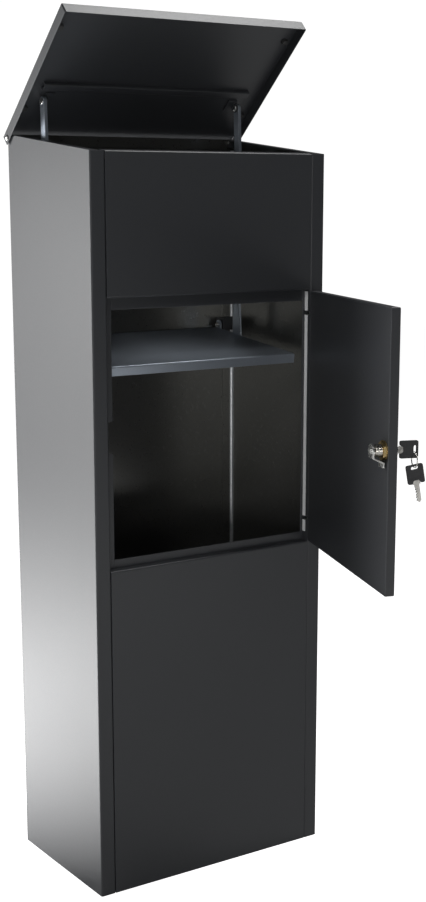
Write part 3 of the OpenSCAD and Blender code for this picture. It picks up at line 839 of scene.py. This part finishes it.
def buffers(rubber):
    """Rubber buffers under the lid, with a rounded head and a pressed-in neck."""
    bm = bmesh.new()
    for lo, hi in node_groups("lid_buffers", LID):
        r, h = (hi.x - lo.x) / 2, hi.z - lo.z
        shape = [(0, 0), (0, r * 0.86), (h * 0.55, r * 0.9), (h * 0.65, r), (h, r), (h, 0)]
        at = ((lo.x + hi.x) / 2, (lo.y + hi.y) / 2, lo.z)
        lathe(bm, rounded_points(shape, 0.9 * MM), "Z", at, STEPS_PIN)
    finish_piece("rubber_buffers", bm, "lid", [rubber], ["lid_buffers"], LID, edge=0)


def make_lid(coat, zinc, rubber):
    lo, hi = local_box("lid_shell", LID)
    bm = bmesh.new()
    open_pan(bm, lo, hi, ("-z", "+y"), LID_BEND, LID_SHEET)
    pivot = LID.inverted() @ Vector(PIN["lid_hinge"])
    cuts = [bore(lo.x - MM, hi.x + MM, PIVOT_ROOM, "X", (0, pivot.y, pivot.z))]
    for s in (-1, 1):
        seam = Matrix.Translation((s * hi.x, lo.y, 0)) @ Matrix.Rotation(s * math.pi / 4, 4, "Z")

        def open_joint(tool, seam=seam):
            outline = rectangle(-SEAM_REACH, -SEAM_W / 2, SEAM_REACH, SEAM_W / 2)
            prism(tool, outline, lo.z - MM, hi.z - SEAM_BELOW,
                  lambda a, b, c: seam @ Vector((a, b, c)))
        cuts.append(open_joint)
    finish_piece("lid_sheet", bm, "lid", [coat], ["lid_shell"], LID, cuts=cuts)
    lo, hi = local_box("lid_stiffener", LID)
    bm = bmesh.new()
    line = [(lo.y, hi.z), (lo.y, lo.z), (hi.y, lo.z), (hi.y, hi.z)]
    prism(bm, sheet_outline(line, LID_SHEET, 1, CHANNEL_BEND), lo.x, hi.x, profile)
    finish_piece("lid_channel", bm, "lid", [coat], ["lid_stiffener"], LID)
    dress("lid_link_lugs", coat, 0.35 * MM)
    pin = LID.inverted() @ Vector(PIN["right_link_pivot"])
    bm = bmesh.new()
    for lo, hi in node_groups("lid_link_rivets", LID):
        rivet(bm, lo, hi, LINK_HEAD_R, (0, pin.y, pin.z))
    finish_piece("link_rivets", bm, "lid", [zinc], ["lid_link_rivets"], LID, edge=0)
    buffers(rubber)


def make_tray(paint, zinc):
    lo, hi = local_box("tray_shelf", TRAY)
    bm = bmesh.new()
    rear_low, step = hi.z - TRAY_REAR_LIP, PIN["tray_tilt"][1] - TRAY_STEP
    line = [(lo.y, lo.z), (lo.y, hi.z), (hi.y, hi.z), (hi.y, rear_low)]
    prism(bm, sheet_outline(line, SHEET, -1), lo.x, hi.x, profile)
    low, under = lo.z + TRAY_CUT_BACK, hi.z - SHEET + EDGE
    side_lip = [(lo.y + SHEET, low), (step, low), (step, rear_low), (hi.y - SHEET, rear_low),
                (hi.y - SHEET, under), (lo.y + SHEET, under)]
    for x in (lo.x, hi.x - SHEET):
        prism(bm, side_lip, x, x + SHEET, profile)
    finish_piece("tray_sheet", bm, "tray", [paint], ["tray_shelf"], TRAY)
    for node in ("left_tray_cheek", "right_tray_cheek"):
        dress(node, paint, 0.35 * MM)
    for node in ("left_link_bar", "right_link_bar"):
        dress(node, paint, 0.7 * MM, 3)
    bm = bmesh.new()
    for lo, hi in node_groups("tray_link_pins", TRAY):
        at = (0, (lo.y + hi.y) / 2, (lo.z + hi.z) / 2)
        rivet(bm, lo, hi, LINK_HEAD_R, at)
        s, inner, outer = reach(lo, hi)
        a, b = s * (inner + COLLAR_FROM), s * (inner + COLLAR_TO)
        lathe(bm, [(a, 0), (a, COLLAR_R), (b, COLLAR_R), (b, 0)], "X", at, STEPS_PIN)
    finish_piece("tray_link_rivets", bm, "tray", [zinc], ["tray_link_pins"], TRAY, edge=0)


# ---- Door and lock ----
BARREL_R, BORE_R = 8 * MM, 6.06 * MM
THREADS, THREAD_DEEP, THREAD_FROM = 14, 0.45 * MM, 13.2 * MM
CHAMFER = 0.7 * MM          # of the nut's corners
DOOR_BEND = 1.8 * MM
ARM_INSET = 1.2 * MM        # by which the pan's slots are narrower than the hinge arms


def make_door(coat, zinc):
    lock_at = (LOCK_AT.x, 0, LOCK_AT.z)
    lo, hi = local_box("door_outer_pan", DOOR)
    bm = bmesh.new()
    open_pan(bm, lo, hi, ("+y",), DOOR_BEND, SHEET)
    cuts = [pocket((hi.x - 2 * SHEET, a.y + ARM_INSET, a.z), (hi.x + MM, b.y - ARM_INSET, b.z))
            for a, b in node_groups("door_hinge_arms", DOOR)]
    cuts.append(bore(lo.y - MM, lo.y + 3 * MM, LOCK_HOLE_R, "Y", lock_at))
    finish_piece("door_pan", bm, "door", [coat], ["door_outer_pan"], DOOR, cuts=cuts)
    lo, hi = local_box("door_inner_liner", DOOR)
    bm = bmesh.new()
    block(bm, lo, hi)
    hole = bore(lo.y - MM, hi.y + MM, LOCK_HOLE_R, "Y", lock_at)
    finish_piece("door_liner", bm, "door", [coat], ["door_inner_liner"], DOOR,
                 edge=0.45 * MM, steps=3, cuts=[hole])
    dress("door_hinge_arms", zinc)


def lock_barrel(nickel):
    """The lock's housing: a rounded bezel, a plain neck and a thread."""
    lo, hi = local_box("lock_body", LOCK)
    y0, y1, bezel_r = lo.y, hi.y, (hi.x - lo.x) / 2
    thread = FRONT + THREAD_FROM
    points = [(y0, BORE_R), (y0, bezel_r - 1.6 * MM), (y0 + 0.5 * MM, bezel_r - 0.6 * MM),
              (y0 + 1.1 * MM, bezel_r), (FRONT, bezel_r), (FRONT, BARREL_R), (thread, BARREL_R)]
    pitch = (y1 - thread - 0.8 * MM) / THREADS
    for k in range(THREADS):
        points += [(thread + pitch * (k + 0.1), BARREL_R),
                   (thread + pitch * (k + 0.55), BARREL_R - THREAD_DEEP)]
    points += [(y1 - 0.6 * MM, BARREL_R - 0.1 * MM), (y1, BARREL_R - 0.6 * MM), (y1, BORE_R)]
    bm = bmesh.new()
    lathe(bm, points, closed=True)
    finish_piece("lock_barrel", bm, "door", [nickel], ["lock_body"], LOCK, edge=0)


def lock_nut(brass):
    """A hexagon nut with turned chamfers."""
    lo, hi = local_box("lock_nut", LOCK)
    across_x, across_z = hi.x - lo.x, hi.z - lo.z
    outer = max(across_x, across_z) / 2
    start = math.pi / 2 if across_x < across_z else 0
    turns = [start + k * math.pi / 3 for k in range(6)]
    bm = bmesh.new()
    hexagon = [(outer * math.cos(a), outer * math.sin(a)) for a in turns]
    prism(bm, hexagon, lo.y, hi.y, elevation)
    flat, clear = outer * math.cos(math.pi / 6), outer + 3 * MM

    def crown(tool):
        for y, out in ((lo.y, -1), (hi.y, 1)):
            above, below = y + out * MM, y - out * CHAMFER
            lathe(tool, [(above, clear), (above, flat - CHAMFER * 0.2),
                         (below, flat + CHAMFER * 1.9), (below, clear)], closed=True)
    cuts = [bore(lo.y - MM, hi.y + MM, BARREL_R), crown]
    finish_piece("lock_nut_hex", bm, "door", [brass], ["lock_nut"], LOCK,
                 edge=0.15 * MM, cuts=cuts)


def make_lock(zinc, nickel, brass):
    lock_barrel(nickel)
    lock_nut(brass)
    dress("lock_washer", brass, 0.2 * MM)
    dress("lock_plug", nickel, 0.25 * MM)
    dress("lock_cam", zinc, 0.5 * MM, 3)
    dress("cam_screw", zinc, 0.4 * MM, 3)


# ---- Keys ----
BOW_W, BOW_L, BOW_T = 22 * MM, 24 * MM, 3.5 * MM
MOUTH, MOUTH_DEEP = 5.2 * MM, 4.2 * MM      # where the blade's shoulder goes into the bow
SLOT_W, SLOT_L, RIM = 4 * MM, 10 * MM, 2.2 * MM
RECESS_FROM, RECESS_TO, RECESS_HALF, RECESS_DEEP = 6.6 * MM, 16 * MM, 8 * MM, 0.45 * MM
BLADE_HALF, BLADE_HALF_T, BLADE_TIP = 3 * MM, 1 * MM, 3 * MM
TANG, TANG_HALF = 4.4 * MM, 3.6 * MM        # the blade's end inside the bow
SHOULDER_HALF, SHOULDER_IN, SHOULDER_OUT = 4.8 * MM, 0.3 * MM, 1.2 * MM
BITS, BIT_PITCH, BIT_FROM = 5, 3.4, 6       # mm
GROOVE_W, GROOVE_DEEP, GROOVE_OFF = 1 * MM, 0.45 * MM, 0.7 * MM
RING_TURNS, RING_STEPS, RING_AROUND, RING_CROSSING = 1.92, 150, 10, 9


def on_both_faces(half, deep):
    """Side and span across the thickness of cuts that go a depth into both faces of a key."""
    return [(s, *sorted((s * (half - deep), s * (half + MM)))) for s in (-1, 1)]


def bow_shape():
    """Outline of the bow from the blade's side, at 0, to its far end."""
    w, inside = BOW_W / 2, MOUTH - 1.4 * MM
    points = [(0, -MOUTH), (0, -w), (BOW_L, -w), (BOW_L, w), (0, w), (0, MOUTH),
              (MOUTH_DEEP, inside), (MOUTH_DEEP, -inside), (0, -MOUTH)]
    return rounded_points(points, 2.3 * MM, 4)[:-1]


def key_bow(name, node, body, matrix, plastic):
    """A flat plastic bow with a slot for the ring and a shallow panel on each face."""
    bm = bmesh.new()
    prism(bm, bow_shape(), -BOW_T / 2, BOW_T / 2, profile)

    def slot_hole(tool):
        r, centre, outline = SLOT_W / 2, BOW_L - RIM - SLOT_W / 2, []
        for s, first in ((1, 0), (-1, math.pi)):
            for k in range(13):
                a = math.pi * k / 12 + first
                outline.append((centre + r * math.cos(a),
                                s * (SLOT_L - SLOT_W) / 2 + r * math.sin(a)))
        prism(tool, outline, -BOW_T, BOW_T, profile)

    def panels(tool):
        a, b, w = RECESS_FROM, RECESS_TO, RECESS_HALF
        outline = rounded_points([(a, 0), (a, -w), (b, -w), (b, w), (a, w), (a, 0)], 1.5 * MM)
        for _, low, high in on_both_faces(BOW_T / 2, RECESS_DEEP):
            prism(tool, outline[:-1], low, high, profile)
    finish_piece(name, bm, body, [plastic], [node], matrix,
                 edge=0.5 * MM, steps=3, cuts=[slot_hole, panels])


def key_blade(name, node, body, matrix, tip, nickel):
    """A blade with a shoulder, bit cuts along one edge and a groove in each face."""
    bm = bmesh.new()
    half, shoulder = BLADE_HALF, SHOULDER_HALF
    line = [(TANG, -TANG_HALF), (TANG, TANG_HALF), (SHOULDER_IN, shoulder),
            (-SHOULDER_OUT, shoulder), (-SHOULDER_OUT, half), (tip + BLADE_TIP, half),
            (tip, 0.4 * MM), (tip + BLADE_TIP, -half)]
    for k in reversed(range(BITS)):
        at = -(BIT_FROM + k * BIT_PITCH) * MM
        deep = (1 + 0.35 * (k % 3)) * MM
        if at - deep > tip + BLADE_TIP + 0.2 * MM:
            line += [(at - deep, -half), (at - 0.3 * MM, -half + deep),
                     (at + 0.3 * MM, -half + deep), (at + deep, -half)]
    line += [(-SHOULDER_OUT, -half), (-SHOULDER_OUT, -shoulder), (SHOULDER_IN, -shoulder)]
    prism(bm, line, -BLADE_HALF_T, BLADE_HALF_T, profile)

    def grooves(tool):
        for s, low, high in on_both_faces(BLADE_HALF_T, GROOVE_DEEP):
            z = GROOVE_OFF * s
            block(tool, (low, tip - MM, z - GROOVE_W / 2), (high, -1.4 * MM, z + GROOVE_W / 2))
    finish_piece(name, bm, body, [nickel], [node], matrix,
                 edge=0.12 * MM, cuts=[grooves])


def split_ring(nickel):
    """A wire wound nearly twice round, which crosses over itself halfway."""
    lo, hi = local_box("key_ring", DOOR)
    wire = (hi.y - lo.y) / 4
    middle, r = (lo + hi) / 2, (hi.x - lo.x) / 2 - wire
    bm = bmesh.new()
    rings = []
    for k in range(RING_STEPS + 1):
        a = 2 * math.pi * RING_TURNS * k / RING_STEPS
        shift = wire * math.tanh((k / RING_STEPS - 0.5) * RING_CROSSING)
        out = Vector((math.sin(a), 0, math.cos(a)))
        centre = middle + out * r + Vector((0, shift, 0))
        ring = []
        for j in range(RING_AROUND):
            b = 2 * math.pi * j / RING_AROUND
            offset = out * wire * math.cos(b) + Vector((0, wire * math.sin(b), 0))
            ring.append(bm.verts.new(centre + offset))
        rings.append(ring)
    skin(bm, rings)
    bm.faces.new(rings[0])
    bm.faces.new(rings[-1])
    finish_piece("split_ring", bm, "ring", [nickel], ["key_ring"], DOOR, edge=0)


def make_keys(plastic, nickel):
    """The key in the lock, its bow out from the door's face, and the spare key and ring.

    Each key is drawn with its shoulder at 0, its bow along +Y and its blade along -Y.
    """
    face = local_box("key_bow", LOCK)[1].y
    tip = face - local_box("key_blade", LOCK)[1].y
    turn = LOCK @ Matrix.Translation((0, face, 0)) @ Matrix.Rotation(math.pi, 4, "Z")
    key_bow("key_grip", "key_bow", "key", turn, plastic)
    key_blade("key_stem", "key_blade", "key", turn, tip, nickel)
    foot = local_box("spare_key_bow", SPARE)[0].z
    tip = local_box("spare_key_blade", SPARE)[0].z - foot
    turn = SPARE @ Matrix.Translation((0, 0, foot)) @ Matrix.Rotation(math.pi / 2, 4, "X")
    key_bow("spare_key_grip", "spare_key_bow", "spare_key", turn, plastic)
    key_blade("spare_key_stem", "spare_key_blade", "spare_key", turn, tip, nickel)
    split_ring(nickel)


# ---- Assembly ----
def build():
    coat = powder_coat("coat_anthracite", (0.036, 0.038, 0.042), 0.42)
    tray_paint = powder_coat("coat_tray", (0.44, 0.49, 0.56), 0.42, edge_wear_and_highlight=0.5, metallic=0.8)
    zinc_sheet = galvanised("zinc_sheet", (0.17, 0.17, 0.162), 0.30)
    zinc = plated("zinc_plate", (0.72, 0.72, 0.70), 0.28)
    nickel = plated("nickel_plate", (0.78, 0.76, 0.72), 0.20)
    brass = plated("turned_brass", (0.72, 0.54, 0.25), 0.28)
    rubber = moulded("black_rubber", (0.03, 0.03, 0.03), 0.7)
    plastic = moulded("black_plastic", (0.028, 0.028, 0.030), 0.42)
    # painted highlight: a pale, bright copy of the bare sheet, put on the rear corner folds for the glow seen
    # there
    painted_fold_highlight = plated("painted_fold_highlight", (0.86, 0.88, 0.90), 0.46)
    # painted highlight: a near-white material for the strip beside the door's hinge edge
    painted_highlight_strip = moulded("painted_highlight_strip", (0.92, 0.93, 0.94), 0.5)
    make_cabinet(coat, zinc_sheet, painted_fold_highlight, painted_highlight_strip, zinc)
    make_lid(coat, zinc, rubber)
    make_tray(tray_paint, zinc)
    make_door(coat, zinc)
    make_lock(zinc, nickel, brass)
    make_keys(plastic, nickel)


make_camera()
make_world()
make_floor()
make_lights()
bpy.context.scene.view_settings.view_transform = "Standard"
build()
